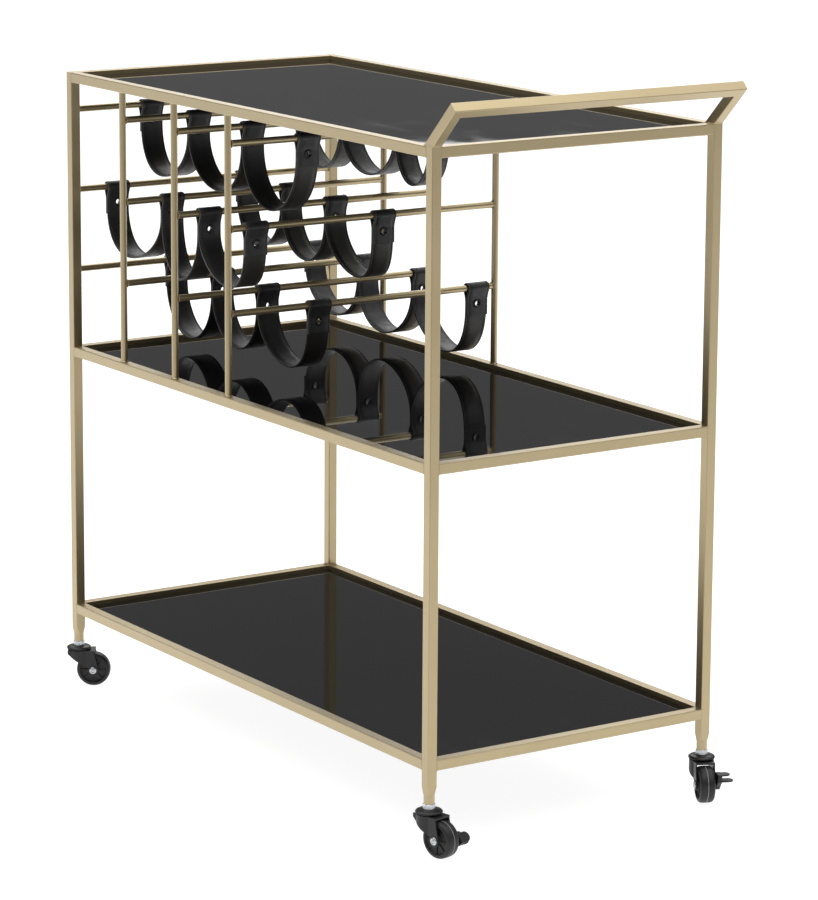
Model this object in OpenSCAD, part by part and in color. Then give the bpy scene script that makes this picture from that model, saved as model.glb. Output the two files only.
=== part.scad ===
// Three-tier bar cart: welded square-tube frame, black glass shelves, a bottle rack whose
// leather bands hang as slings from round bars, a raised push handle and four swivel casters.
// Millimetres. X runs along the cart towards the handle, Y across it, Z up from the floor.
// The origin is on the floor under the middle of the whole cart.

/* [Frame] */
// Length of the frame over the posts
frame_l = 784; // [600:1:1000]
// Width of the frame over the posts
frame_w = 378; // [300:1:480]
// Height of the top frame's upper face above the floor
frame_h = 758; // [650:1:950]
// Drop from the top frame to the middle frame, upper face to upper face
middle_drop = 333; // [270:1:420]
// Drop from the top frame to the bottom frame, upper face to upper face
bottom_drop = 654; // [540:1:670]
// Side of the square tube
tube = 12; // [10:0.5:16]
// Wall thickness of the square tube
tube_wall = 1.2; // [0.8:0.1:2]
// Outer corner radius of the square tube
tube_corner = 1; // [0.5:0.1:1.5]
// Height of the swaged round end at the foot of each post
foot_round = 9; // [4:0.5:12]
// Height of the taper from the round end to the square post
foot_taper = 11; // [8:0.5:20]

/* [Glass shelves] */
// Thickness of each glass panel
glass_t = 4; // [3:0.5:6]
// Depth of the glass below the upper faces of the rails
glass_recess = 5.5; // [3:0.1:6]
// Gap between a panel's edge and the rails around it
glass_gap = 1; // [0.5:0.1:2]
// Thickness of the clear pads under the glass
pad_t = 1; // [0.5:0.1:2]
// Thickness of the welded support tabs
tab_t = 1.5; // [1:0.1:3]
// Width of each support tab along its rail
tab_w = 24; // [15:1:40]
// Reach of each support tab under the glass
tab_reach = 13; // [9:0.5:25]
// Spacing of the tabs along the long rails
tab_pitch = 270; // [150:1:300]

/* [Bottle rack] */
// Diameter of the round uprights and bars
rod_d = 8; // [6:0.5:10]
// Spacing of the columns of bars along the cart
column_pitch = 120; // [100:1:150]
// Depth of the first row of bars below the top frame's upper face
first_row_drop = 45; // [35:1:60]
// Height of the last row of bars above the middle frame's upper face
last_row_rise = 94; // [90:1:120]
// Depth by which a bar's end is let into the upright it is welded to
weld_sink = 1; // [0.5:0.1:1.5]

/* [Leather bands] */
// Width of each band
strap_w = 30; // [22:0.5:36]
// Thickness of the leather
strap_t = 2; // [1.5:0.1:3]
// Clearance between a bar and the band that is wrapped over it
strap_clear = 0.4; // [0.3:0.1:1]
// Distance from a bar's centre down to the eyelet that pinches the band
eyelet_drop = 19; // [16:0.5:24]
// Length of the loose end flaps below the bar's centre
flap_drop = 33; // [28:0.5:38]
// Radius of the hole through each eyelet
eyelet_bore = 3; // [2:0.1:3.5]
// Radius of each eyelet's barrel
eyelet_barrel = 3.8; // [3.6:0.1:4.2]
// Radius of each eyelet's flange
eyelet_flange = 5.5; // [5:0.1:6]
// Thickness of each eyelet's flange
eyelet_t = 0.7; // [0.5:0.1:1]

/* [Push handle] */
// Length of the handle's arms along their slope
handle_reach = 58; // [40:1:90]
// Slope of the handle's arms above level
handle_slope = 45; // [35:1:60]

/* [Casters] */
// Radius of each wheel
wheel_r = 20.6; // [16:0.1:25]
// Width of each wheel
wheel_w = 17; // [14:0.5:20]
// Distance from the swivel axis back to the axle
trail = 18; // [14:0.5:20]
// Radius of the caster's threaded stem
stem_r = 4; // [3:0.5:4.5]
// Radius of the axle rivet
axle_r = 2.5; // [2:0.1:3]
// Radius of the axle rivet's head
axle_head_r = 4.5; // [4:0.1:5]
// Radius of the domed race cap
cap_r = 15; // [13:0.5:17]
// Across-flats size of the nut on the stem
nut_af = 12; // [11:0.5:14]
// Thickness of the fork's sheet steel
fork_t = 1.8; // [1.4:0.1:2.5]
// Gap between the wheel's face and each fork cheek
cheek_gap = 0.8; // [0.5:0.1:1.5]
// Gap between the wheel's tread and the fork's top plate
crown_gap = 2; // [1.5:0.1:4]
// Radial clearance of every turning fit
running_fit = 0.05; // [0.02:0.01:0.1]
// Gap between faces that turn past each other
face_gap = 0.3; // [0.3:0.05:0.6]
// Angle by which a brake lever turns down from released to locked
brake_throw = 50; // [30:1:60]

/* [Hidden] */
half_l = frame_l / 2;
half_w = frame_w / 2;
post_x = half_l - tube / 2;
post_y = half_w - tube / 2;
rail_l = frame_l - 2 * tube;
rail_w = frame_w - 2 * tube;
levels = [frame_h, frame_h - middle_drop, frame_h - bottom_drop];

// The handle and the race caps stand out past opposite ends; this centres the whole on X.
handle_out = handle_reach * cos(handle_slope);
cap_out = cap_r - tube / 2;
centre_shift = -(handle_out - cap_out) / 2;

// Caster heights above the floor, from the tread up
axle_z = wheel_r;
plate_z = 2 * wheel_r + crown_gap;
plate_t = 2;
plate_r = 14;
plate_rear = 20;
washer_t = 1;
cap_h = 4.2;
nut_h = 5.3;
washer_z = plate_z + plate_t + face_gap;
cap_z = washer_z + washer_t;
nut_z = cap_z + cap_h;
foot_z = nut_z + nut_h;
foot_r = tube / 2;
foot_cone_r = 0.69 * tube;
stem_depth = 25;
plug_h = 34;
cheek_in = wheel_w / 2 + cheek_gap;
cheek_out = cheek_in + fork_t;
brake_in = cheek_out + face_gap;
brake_w = 5;
head_t = 1.5;

// Rack heights and columns
row_pitch = (middle_drop - first_row_drop - last_row_rise) / 2;
rows = [for (i = [0:2]) frame_h - first_row_drop - i * row_pitch];
columns = [for (i = [0:3]) -post_x + i * column_pitch];
bar_half = post_y - rod_d / 2;

// Band sections around a bar
loop_in = rod_d / 2 + strap_clear;
loop_out = loop_in + strap_t;
layer_gap = 0.1;
pinch_half = strap_t + 2 * layer_gap;
layer_x = strap_t / 2 + layer_gap;
pinch_top = eyelet_drop - 6.5;
pinch_end = eyelet_drop + 6.5;
sling_top = pinch_end - 1.5;
sling_steps = 16;
sling_inset = 0.15;

// Each band: its row, its side (-1 front, 1 back), the gap from the bar's end to the band's near
// edge at the four columns, then the depth below the bar and the sideways lean of its three slings
straps = [
    [0, -1, [88, 84, 86, 86], [82, 83, 91], [-9, 6, 1]],
    [0,  1, [22, 30, 30, 62], [86, 80, 77], [4, 0, -2]],
    [1, -1, [40, 47, 27, 17], [81, 88, 76], [-12, -4, 12]],
    [1,  1, [105, 115, 128, 139], [80, 79, 79], [-5, 2, 16]],
    [2, -1, [122, 116, 106, 101], [88, 80, 80], [0, 3, 11]],
    [2,  1, [5, 4, 4, 7], [78, 83, 84], [5, -6, 11]],
];

// Each caster: post side along X, post side along Y, direction of its trail, brake lever state
// (0 released, 1 locked, undef none)
casters = [
    [-1, -1, 55, undef],
    [1, -1, 12, 1],
    [-1, 1, -70, undef],
    [1, 1, -25, 0],
];

gold = [0.76, 0.68, 0.52];
black_glass = [0.05, 0.05, 0.055];
black_leather = [0.10, 0.10, 0.11];
zinc = [0.80, 0.81, 0.82];
black_steel = [0.09, 0.09, 0.09];
black_nylon = [0.07, 0.07, 0.07];
clear_vinyl = [0.85, 0.87, 0.88];

// ---- square tube ----

// Outline of a square with rounded corners, centred
function corner_arc(c, r, start) =
    [for (a = [start:22.5:start + 90]) c + r * [cos(a), sin(a)]];

module tube_outline() {
    k = tube / 2 - tube_corner;
    polygon(concat(
        corner_arc([k, k], tube_corner, 0), corner_arc([-k, k], tube_corner, 90),
        corner_arc([-k, -k], tube_corner, 180), corner_arc([k, -k], tube_corner, 270)));
}

module tube_stock(length) {
    linear_extrude(length)
        difference() {
            tube_outline();
            square(tube - 2 * tube_wall, center = true);
        }
}

module on_cart() {
    translate([centre_shift, 0, 0]) children();
}

// ---- posts and rails ----

// A full-height post: closed at the top, its foot swaged round and plugged for the caster's stem
module leg(sx, sy) {
    height = frame_h - foot_z;
    cone_z = foot_round + foot_taper;
    color(gold) on_cart() translate([sx * post_x, sy * post_y, foot_z])
        difference() {
            intersection() {
                linear_extrude(height) tube_outline();
                union() {
                    cylinder(r = foot_r, h = foot_round, $fn = 64);
                    translate([0, 0, foot_round])
                        cylinder(r1 = foot_r, r2 = foot_cone_r, h = foot_taper, $fn = 64);
                    translate([0, 0, cone_z])
                        cylinder(r = tube, h = height - cone_z, $fn = 64);
                }
            }
            translate([0, 0, plug_h + (height - tube_wall - plug_h) / 2])
                cube([tube - 2 * tube_wall, tube - 2 * tube_wall,
                      height - tube_wall - plug_h], center = true);
            translate([0, 0, -1]) cylinder(r = stem_r, h = stem_depth + 1, $fn = 64);
        }
}

// A rail along the cart between two posts
module long_rail(level, sy) {
    color(gold) on_cart() translate([-rail_l / 2, sy * post_y, levels[level] - tube / 2])
        rotate([0, 90, 0]) tube_stock(rail_l);
}

// A rail across the cart between two posts
module end_rail(level, sx) {
    color(gold) on_cart() translate([sx * post_x, rail_w / 2, levels[level] - tube / 2])
        rotate([90, 0, 0]) tube_stock(rail_w);
}

// ---- push handle ----

// Draws in the handle's own plane: x up the slope, y across the cart, z square to the slope
module in_handle_plane() {
    on_cart() translate([half_l, 0, frame_h]) rotate([0, -handle_slope, 0]) children();
}

// A prism in the handle's plane that trims its tubes to their mitres
module mitre_prism(points) {
    translate([0, 0, -1]) linear_extrude(tube + 2) polygon(points);
}

module handle_arm(sy) {
    run = tube / tan(handle_slope) + tube;
    inner = half_w - tube;
    color(gold) difference() {
        in_handle_plane()
            intersection() {
                translate([-run, sy * post_y, tube / 2])
                    rotate([0, 90, 0]) tube_stock(handle_reach + run);
                mitre_prism([
                    [-run - 1, sy * (inner - 1)], [handle_reach - tube - 1, sy * (inner - 1)],
                    [handle_reach + 1, sy * (half_w + 1)], [-run - 1, sy * (half_w + 1)]]);
            }
        on_cart() translate([half_l, 0, frame_h - frame_h / 2])
            cube([4 * run, 2 * frame_w, frame_h], center = true);
    }
}

module handle_bar() {
    inner = half_w - tube;
    near = handle_reach - tube - 1;
    far = handle_reach + 1;
    color(gold) in_handle_plane()
        intersection() {
            translate([handle_reach - tube / 2, half_w, tube / 2])
                rotate([90, 0, 0]) tube_stock(frame_w);
            mitre_prism([
                [near, -inner + 1], [far, -half_w - 1], [far, half_w + 1], [near, inner - 1]]);
        }
}

// ---- glass shelves ----

glass_l = rail_l - 2 * glass_gap;
glass_w = rail_w - 2 * glass_gap;
tab_y = rail_w / 2;
tab_x = rail_l / 2;

module glass(level) {
    color(black_glass) on_cart()
        translate([0, 0, levels[level] - glass_recess - glass_t / 2])
            cube([glass_l, glass_w, glass_t], center = true);
}

// Places its child at each support tab's root, with +x pointing in under the glass
module at_tabs() {
    for (z = levels) {
        for (sy = [-1, 1], i = [-1:1])
            translate([i * tab_pitch, sy * tab_y, z]) rotate([0, 0, -sy * 90]) children();
        for (sx = [-1, 1])
            translate([sx * tab_x, 0, z]) rotate([0, 0, sx > 0 ? 180 : 0]) children();
    }
}

pad_drop = glass_recess + glass_t + pad_t;

module glass_tabs() {
    color(gold) on_cart() at_tabs()
        translate([tab_reach / 2, 0, -pad_drop - tab_t / 2])
            cube([tab_reach, tab_w, tab_t], center = true);
}

module glass_pads() {
    pad_r = 3.5;
    color(clear_vinyl) on_cart() at_tabs()
        translate([tab_reach - pad_r - 1, 0, -pad_drop])
            cylinder(r = pad_r, h = pad_t, $fn = 32);
}

// ---- bottle rack ----

module rack_uprights(sy) {
    top = levels[0] - tube;
    foot = levels[1];
    color(gold) on_cart()
        for (i = [1:3])
            translate([columns[i], sy * post_y, foot])
                cylinder(r = rod_d / 2, h = top - foot, $fn = 48);
}

// Four bars across the cart; the first meets the corner posts, the rest the uprights
module rack_bars(row) {
    color(gold) on_cart()
        for (i = [0:3]) {
            half = i == 0 ? rail_w / 2 : bar_half + weld_sink;
            translate([columns[i], half, rows[row]])
                rotate([90, 0, 0]) cylinder(r = rod_d / 2, h = 2 * half, $fn = 48);
        }
}

// ---- leather bands ----

function strap_y(s, i) = s[1] * (bar_half - s[2][i] - strap_w / 2);

// Point where a tangent from p touches a circle of radius r about the origin, on p's right
function tangent_point(r, p) =
    let (a = atan2(p[1], p[0]) + acos(r / norm(p))) r * [cos(a), sin(a)];

module teardrop(r, tip_x, tip_z) {
    t = tangent_point(r, [tip_x, -tip_z]);
    circle(r = r, $fn = 48);
    polygon([t, [tip_x, -tip_z], [-tip_x, -tip_z], [-t[0], t[1]]]);
}

// Section of the band where it wraps over a bar; side is where a loose flap hangs, or 0
module wrap_section(side) {
    difference() {
        union() {
            teardrop(loop_out, pinch_half, pinch_top);
            translate([-pinch_half, -pinch_end])
                square([2 * pinch_half, pinch_end - pinch_top + 0.5]);
            if (side != 0)
                translate([side > 0 ? layer_gap : -pinch_half, -flap_drop])
                    square([pinch_half - layer_gap, flap_drop - pinch_top]);
        }
        teardrop(loop_in, layer_gap, pinch_top);
    }
}

// One hanging sling between two wraps: half an ellipse with a sideways lean, and shifted
// across the cart from one wrap's place to the next
module sling(x0, x1, y0, y1, depth, lean) {
    mid = (x0 + x1) / 2;
    a = (x1 - x0) / 2 - layer_x;
    d = depth - sling_top - strap_t / 2;
    angles = [for (k = [0:sling_steps]) 180 * k / sling_steps];
    centre = [for (t = angles)
        [mid - a * cos(t) + lean * pow(sin(t), 2), -sling_top - d * sin(t)]];
    normal = [for (t = angles)
        let (v = [a * sin(t) + lean * sin(2 * t), -d * cos(t)]) [-v[1], v[0]] / norm(v)];
    points = [for (k = [0:sling_steps])
        let (y = y0 + (y1 - y0) * (1 - cos(angles[k])) / 2)
        for (c = [[-1, -1], [1, -1], [1, 1], [-1, 1]])
            let (p = centre[k] + c[0] * normal[k] * strap_t / 2)
                [p[0], y + c[1] * (strap_w / 2 - sling_inset), p[1]]];
    sides = [for (k = [0:sling_steps - 1], j = [0:3])
        let (m = 4 * k + j, n = 4 * k + (j + 1) % 4)
            each [[m, n, n + 4], [m, n + 4, m + 4]]];
    last = 4 * sling_steps;
    polyhedron(points, concat(sides,
        [[0, 2, 1], [0, 3, 2], [last, last + 1, last + 2], [last, last + 2, last + 3]]));
}

module strap(index) {
    s = straps[index];
    color(black_leather) on_cart() translate([0, 0, rows[s[0]]])
        difference() {
            union() {
                for (i = [0:3])
                    translate([columns[i], strap_y(s, i), 0]) rotate([90, 0, 0])
                        linear_extrude(strap_w, center = true)
                            wrap_section(i == 0 ? -1 : i == 3 ? 1 : 0);
                for (i = [0:2])
                    sling(columns[i], columns[i + 1], strap_y(s, i), strap_y(s, i + 1),
                          s[3][i], s[4][i]);
            }
            for (i = [0:3])
                translate([columns[i] - 2 * pinch_half, strap_y(s, i), -eyelet_drop])
                    rotate([0, 90, 0]) cylinder(r = eyelet_barrel, h = 4 * pinch_half, $fn = 32);
        }
}

// Flanged tubular rivets that pinch a band's two layers together below each bar
module eyelets(index) {
    s = straps[index];
    length = 2 * (pinch_half + eyelet_t);
    color(black_steel) on_cart() translate([0, 0, rows[s[0]] - eyelet_drop])
        for (i = [0:3])
            translate([columns[i], strap_y(s, i), 0]) rotate([0, 90, 0])
                difference() {
                    union() {
                        cylinder(r = eyelet_barrel, h = length, center = true, $fn = 32);
                        for (side = [-1, 1])
                            translate([0, 0, side * (pinch_half + eyelet_t / 2)])
                                cylinder(r = eyelet_flange, h = eyelet_t, center = true, $fn = 32);
                    }
                    cylinder(r = eyelet_bore, h = length + 1, center = true, $fn = 32);
                }
}

// ---- casters ----

module at_posts() {
    for (c = casters)
        on_cart() translate([c[0] * post_x, c[1] * post_y, 0]) children();
}

// Draws in one caster's own place: origin on the floor under the stem, x along the trail
module at_caster(c) {
    on_cart() translate([c[0] * post_x, c[1] * post_y, 0]) rotate([0, 0, c[2]]) children();
}

// Draws on the axle: z along the caster's own +y
module on_axle() {
    translate([trail, 0, axle_z]) rotate([-90, 0, 0]) children();
}

// Threaded stem, its hex nut against the post, and the head riveted over under the fork
module caster_stems() {
    head_r = stem_r + 2.5;
    head_h = 2.2;
    color(zinc) at_posts() {
        translate([0, 0, plate_z - face_gap])
            cylinder(r = stem_r, h = foot_z + stem_depth - plate_z, $fn = 64);
        translate([0, 0, plate_z - face_gap - head_h])
            cylinder(r = head_r, h = head_h, $fn = 48);
        translate([0, 0, nut_z]) cylinder(r = nut_af / sqrt(3), h = nut_h, $fn = 6);
    }
}

module caster_race_caps() {
    color(black_steel) at_posts() rotate_extrude($fn = 96)
        polygon([[stem_r, cap_z], [cap_r, cap_z], [cap_r, cap_z + 0.4 * cap_h],
                 [cap_r - 1.2, cap_z + 0.6 * cap_h], [cap_r - 4.5, cap_z + 0.85 * cap_h],
                 [cap_r - 7.5, nut_z], [stem_r, nut_z]]);
}

module caster_washers() {
    color(black_nylon) at_posts() translate([0, 0, washer_z])
        difference() {
            cylinder(r = plate_r - 1, h = washer_t, $fn = 64);
            translate([0, 0, -1]) cylinder(r = stem_r, h = washer_t + 2, $fn = 64);
        }
}

// Side outline of a fork cheek, from the top plate down to the round eye at the axle
module cheek_outline() {
    eye_r = 6.5;
    top = plate_z + plate_t;
    union() {
        polygon([[-plate_r + 1, top], [-plate_r + 1, plate_z - 2], [-plate_r + 6, plate_z - 7],
                 [trail - eye_r * cos(25), axle_z + eye_r * sin(25)],
                 [trail + eye_r, axle_z], [plate_rear - 1, top]]);
        translate([trail, axle_z]) circle(r = eye_r, $fn = 48);
    }
}

module along_y(from, to) {
    translate([0, to, 0]) rotate([90, 0, 0]) linear_extrude(to - from) children();
}

module fork(c) {
    color(black_steel) at_caster(c) difference() {
        union() {
            translate([0, 0, plate_z]) cylinder(r = plate_r, h = plate_t, $fn = 96);
            translate([0, -cheek_out, plate_z]) cube([plate_rear, 2 * cheek_out, plate_t]);
            for (side = [-1, 1]) {
                along_y(side > 0 ? cheek_in : -cheek_out, side > 0 ? cheek_out : -cheek_in)
                    cheek_outline();
                intersection() {
                    difference() {
                        cylinder(r = plate_r, h = plate_z + plate_t, $fn = 96);
                        translate([0, 0, -1]) cylinder(r = plate_r - fork_t, h = plate_z + 1);
                    }
                    along_y(side > 0 ? cheek_in : -2 * plate_r,
                            side > 0 ? 2 * plate_r : -cheek_in)
                        cheek_outline();
                }
            }
        }
        translate([0, 0, plate_z - 1])
            cylinder(r = stem_r + running_fit, h = plate_t + 2, $fn = 64);
        on_axle() cylinder(r = axle_r, h = 4 * plate_r, center = true, $fn = 48);
    }
}

// Moulded wheel: rounded shoulders, dished faces and a hub boss
module wheel(c) {
    shoulder = 4;
    hub_r = 6;
    rim_r = wheel_r - 5;
    dish = 2.5;
    boss = cheek_gap / 2;
    color(black_nylon) at_caster(c) on_axle() difference() {
        rotate_extrude($fn = 128) union() {
            translate([0, -wheel_w / 2]) square([wheel_r - shoulder, wheel_w]);
            translate([0, -wheel_w / 2 + shoulder]) square([wheel_r, wheel_w - 2 * shoulder]);
            for (side = [-1, 1])
                translate([wheel_r - shoulder, side * (wheel_w / 2 - shoulder)])
                    circle(r = shoulder, $fn = 48);
            translate([0, -wheel_w / 2 - boss]) square([hub_r, wheel_w + 2 * boss]);
        }
        for (side = [-1, 1])
            translate([0, 0, side * (wheel_w / 2 + wheel_w / 2 - dish)]) difference() {
                cylinder(r = rim_r, h = wheel_w, center = true, $fn = 96);
                cylinder(r = hub_r, h = wheel_w + 2, center = true, $fn = 64);
            }
        cylinder(r = axle_r + running_fit, h = 2 * wheel_w, center = true, $fn = 48);
    }
}

// Axle rivet; with a brake lever it runs on through the lever's hub
module axle(c) {
    far = is_undef(c[3]) ? cheek_out : brake_in + brake_w + face_gap;
    color(zinc) at_caster(c) on_axle() {
        translate([0, 0, -cheek_out]) cylinder(r = axle_r, h = cheek_out + far, $fn = 48);
        translate([0, 0, -cheek_out - head_t]) cylinder(r = axle_head_r, h = head_t, $fn = 48);
        translate([0, 0, far]) cylinder(r = axle_head_r, h = head_t, $fn = 48);
    }
}

// Brake lever: a hub on the axle's end and a pair of foot wings, one above the other
module brake_lever(c) {
    hub_r = 6.5;
    wing_t = 1.6;
    wing_w = 12;
    wing_x = 3;
    wing_zs = [6.5, 13.5];
    wing_outs = [30, 26];
    root = brake_in + brake_w;
    color(black_nylon) at_caster(c) translate([trail, 0, axle_z])
        rotate([0, c[3] * brake_throw, 0]) difference() {
            union() {
                along_y(brake_in, root) {
                    circle(r = hub_r, $fn = 48);
                    polygon([[-4, 4], [2, 14.3], [15, 14.3], [15, 5.7], [6, -2]]);
                }
                for (i = [0:1])
                    translate([wing_x + wing_w / 2, 0, wing_zs[i] - wing_t / 2]) {
                        translate([-wing_w / 2, root - 1, 0])
                            cube([wing_w, wing_outs[i] - wing_w / 2 - root + 1, wing_t]);
                        translate([0, wing_outs[i] - wing_w / 2, 0])
                            cylinder(r = wing_w / 2, h = wing_t, $fn = 48);
                    }
            }
            rotate([-90, 0, 0]) cylinder(r = axle_r + running_fit, h = 2 * root, $fn = 48);
            translate([-wing_w, 0, -wing_w])
                cube([4 * wing_w, brake_in, 4 * wing_w]);
        }
}

leg(-1, -1);  // leg_front_left
leg(1, -1);  // leg_front_right
leg(-1, 1);  // leg_back_left
leg(1, 1);  // leg_back_right
long_rail(0, -1);  // rail_top_front
long_rail(0, 1);  // rail_top_back
end_rail(0, -1);  // rail_top_left
end_rail(0, 1);  // rail_top_right
long_rail(1, -1);  // rail_middle_front
long_rail(1, 1);  // rail_middle_back
end_rail(1, -1);  // rail_middle_left
end_rail(1, 1);  // rail_middle_right
long_rail(2, -1);  // rail_bottom_front
long_rail(2, 1);  // rail_bottom_back
end_rail(2, -1);  // rail_bottom_left
end_rail(2, 1);  // rail_bottom_right
handle_arm(-1);  // handle_arm_front
handle_arm(1);  // handle_arm_back
handle_bar();
glass(0);  // glass_top
glass(1);  // glass_middle
glass(2);  // glass_bottom
glass_tabs();
glass_pads();
rack_uprights(-1);  // rack_uprights_front
rack_uprights(1);  // rack_uprights_back
rack_bars(0);  // rack_bars_upper
rack_bars(1);  // rack_bars_middle
rack_bars(2);  // rack_bars_lower
strap(0);  // strap_upper_front
strap(1);  // strap_upper_back
strap(2);  // strap_middle_front
strap(3);  // strap_middle_back
strap(4);  // strap_lower_front
strap(5);  // strap_lower_back
eyelets(0);  // eyelets_upper_front
eyelets(1);  // eyelets_upper_back
eyelets(2);  // eyelets_middle_front
eyelets(3);  // eyelets_middle_back
eyelets(4);  // eyelets_lower_front
eyelets(5);  // eyelets_lower_back
caster_stems();
caster_race_caps();
caster_washers();
fork(casters[0]);  // fork_front_left
fork(casters[1]);  // fork_front_right
fork(casters[2]);  // fork_back_left
fork(casters[3]);  // fork_back_right
wheel(casters[0]);  // wheel_front_left
wheel(casters[1]);  // wheel_front_right
wheel(casters[2]);  // wheel_back_left
wheel(casters[3]);  // wheel_back_right
axle(casters[0]);  // axle_front_left
axle(casters[1]);  // axle_front_right
axle(casters[2]);  // axle_back_left
axle(casters[3]);  // axle_back_right
brake_lever(casters[1]);  // brake_lever_front
brake_lever(casters[3]);  // brake_lever_back
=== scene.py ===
import math

import bmesh
import bpy
from mathutils import Matrix, Vector, noise


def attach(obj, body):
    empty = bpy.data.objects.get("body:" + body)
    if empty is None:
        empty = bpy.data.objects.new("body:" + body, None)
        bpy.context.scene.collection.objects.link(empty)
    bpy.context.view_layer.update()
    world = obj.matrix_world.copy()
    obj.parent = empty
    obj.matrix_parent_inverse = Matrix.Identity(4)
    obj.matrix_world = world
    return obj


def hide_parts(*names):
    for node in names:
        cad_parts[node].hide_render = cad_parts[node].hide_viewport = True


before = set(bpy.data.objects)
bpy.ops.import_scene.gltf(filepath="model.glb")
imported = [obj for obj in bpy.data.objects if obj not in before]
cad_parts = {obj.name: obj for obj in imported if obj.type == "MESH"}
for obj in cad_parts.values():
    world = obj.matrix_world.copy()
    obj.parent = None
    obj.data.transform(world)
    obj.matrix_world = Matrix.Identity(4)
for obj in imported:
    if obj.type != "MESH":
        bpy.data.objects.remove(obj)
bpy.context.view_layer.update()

MM = 0.001

# ---- Camera ----
# A long lens from the handle end, looking slightly down across the front long side.
# It stands still: other views turn about the cart.

CAMERA_AT = Vector((3.50646, -2.30181, 1.27189))
CAMERA_YAW = math.radians(146.3283)
CAMERA_PITCH = math.radians(10.7436)
CAMERA_ROLL = math.radians(0.3649)
LENS = 148.79
LENS_SHIFT = -0.12

ahead = Vector((math.cos(CAMERA_YAW) * math.cos(CAMERA_PITCH),
                math.sin(CAMERA_YAW) * math.cos(CAMERA_PITCH), -math.sin(CAMERA_PITCH)))
right = Vector((math.sin(CAMERA_YAW), -math.cos(CAMERA_YAW), 0))
up = right.cross(ahead)
right, up = (right * math.cos(CAMERA_ROLL) + up * math.sin(CAMERA_ROLL),
             up * math.cos(CAMERA_ROLL) - right * math.sin(CAMERA_ROLL))
lens = bpy.data.cameras.new("camera")
lens.lens = LENS
lens.sensor_width = 36
lens.shift_y = LENS_SHIFT
lens.clip_end = 200
camera = bpy.data.objects.new("camera", lens)
bpy.context.collection.objects.link(camera)
turn = Matrix((right, up, -ahead)).transposed().to_4x4()
camera.matrix_world = Matrix.Translation(CAMERA_AT) @ turn
bpy.context.scene.camera = camera

# ---- Studio ----
# A pale floor that glows under and behind the cart, and dims on the camera's own side.
# The glass mirrors a dim wall; a bright ceiling and soft boxes shape the metal.
# The floor's glow and the wall's tone are both laid out along the camera's heading.

FLOOR_SIZE = 60
FLOOR_WHITE = 0.32
FLOOR_GLOW = 0.92
FLOOR_GLOW_FRONT = 0.42
GLOW_FROM, GLOW_TO = -2.2, -0.7
WALL_DIM = 0.138
SIDE_WALLS = 0.10
CEILING = 1.35
CEILING_FROM, CEILING_TO = 0.46, 0.72
CEILING_LEAN = 0.14
CAMERA_HEADING = (math.cos(CAMERA_YAW), math.sin(CAMERA_YAW), 0)
BOX_TARGET = Vector((0, 0, 0.4))

bpy.context.scene.view_settings.view_transform = "Standard"


def material(name):
    """A new material with its Principled shader and its node tree."""
    mat = bpy.data.materials.new(name)
    mat.use_nodes = True
    tree = mat.node_tree
    return mat, tree.nodes["Principled BSDF"], tree


def node(tree, kind, **settings):
    """A shader node with its settings; inputs are given by name with underscores for spaces."""
    made = tree.nodes.new(kind)
    for key, value in settings.items():
        name = key.replace("_", " ")
        if name in made.inputs:
            made.inputs[name].default_value = value
        else:
            setattr(made, key, value)
    return made


def mesh_piece(name, verts, faces, mat, smooth=True):
    """A mesh object from points in metres, with one material."""
    data = bpy.data.meshes.new(name)
    data.from_pydata([tuple(v) for v in verts], [], faces)
    data.materials.append(mat)
    data.shade_smooth() if smooth else data.shade_flat()
    data.update()
    piece = bpy.data.objects.new(name, data)
    bpy.context.collection.objects.link(piece)
    return piece


floor_white, shader, tree = material("studio_floor")
speckle = node(tree, "ShaderNodeTexNoise", Scale=0.4, Detail=2.0)
shade = node(tree, "ShaderNodeMapRange", To_Min=FLOOR_WHITE - 0.02, To_Max=FLOOR_WHITE)
tree.links.new(speckle.outputs["Fac"], shade.inputs["Value"])
tree.links.new(shade.outputs["Result"], shader.inputs["Base Color"])
shader.inputs["Roughness"].default_value = 0.9
shader.inputs["Specular IOR Level"].default_value = 0.1
toward_back = node(tree, "ShaderNodeVectorMath", operation="DOT_PRODUCT")
tree.links.new(node(tree, "ShaderNodeTexCoord").outputs["Object"], toward_back.inputs[0])
toward_back.inputs[1].default_value = CAMERA_HEADING
glow = node(tree, "ShaderNodeMapRange", interpolation_type="SMOOTHSTEP",
            From_Min=GLOW_FROM, From_Max=GLOW_TO, To_Min=FLOOR_GLOW_FRONT, To_Max=FLOOR_GLOW)
tree.links.new(toward_back.outputs["Value"], glow.inputs["Value"])
shader.inputs["Emission Color"].default_value = (1, 1, 1, 1)
tree.links.new(glow.outputs["Result"], shader.inputs["Emission Strength"])
half = FLOOR_SIZE / 2
floor = mesh_piece("floor", [(-half, -half, 0), (half, -half, 0), (half, half, 0), (-half, half, 0)],
                   [(0, 1, 2, 3)], floor_white, smooth=False)

world = bpy.data.worlds.new("studio")
bpy.context.scene.world = world
world.use_nodes = True
tree = world.node_tree
sky = tree.nodes["Background"]
direction = node(tree, "ShaderNodeTexCoord")
split = node(tree, "ShaderNodeSeparateXYZ")
tree.links.new(direction.outputs["Generated"], split.inputs["Vector"])
behind = node(tree, "ShaderNodeVectorMath", operation="DOT_PRODUCT")
tree.links.new(direction.outputs["Generated"], behind.inputs[0])
behind.inputs[1].default_value = CAMERA_HEADING
wall = node(tree, "ShaderNodeMapRange", interpolation_type="SMOOTHSTEP",
            From_Min=0.25, From_Max=0.70, To_Min=SIDE_WALLS, To_Max=WALL_DIM)
tree.links.new(behind.outputs["Value"], wall.inputs["Value"])
lean = node(tree, "ShaderNodeMath", operation="MULTIPLY_ADD")
lean.inputs[1].default_value = CEILING_LEAN
tree.links.new(behind.outputs["Value"], lean.inputs[0])
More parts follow.
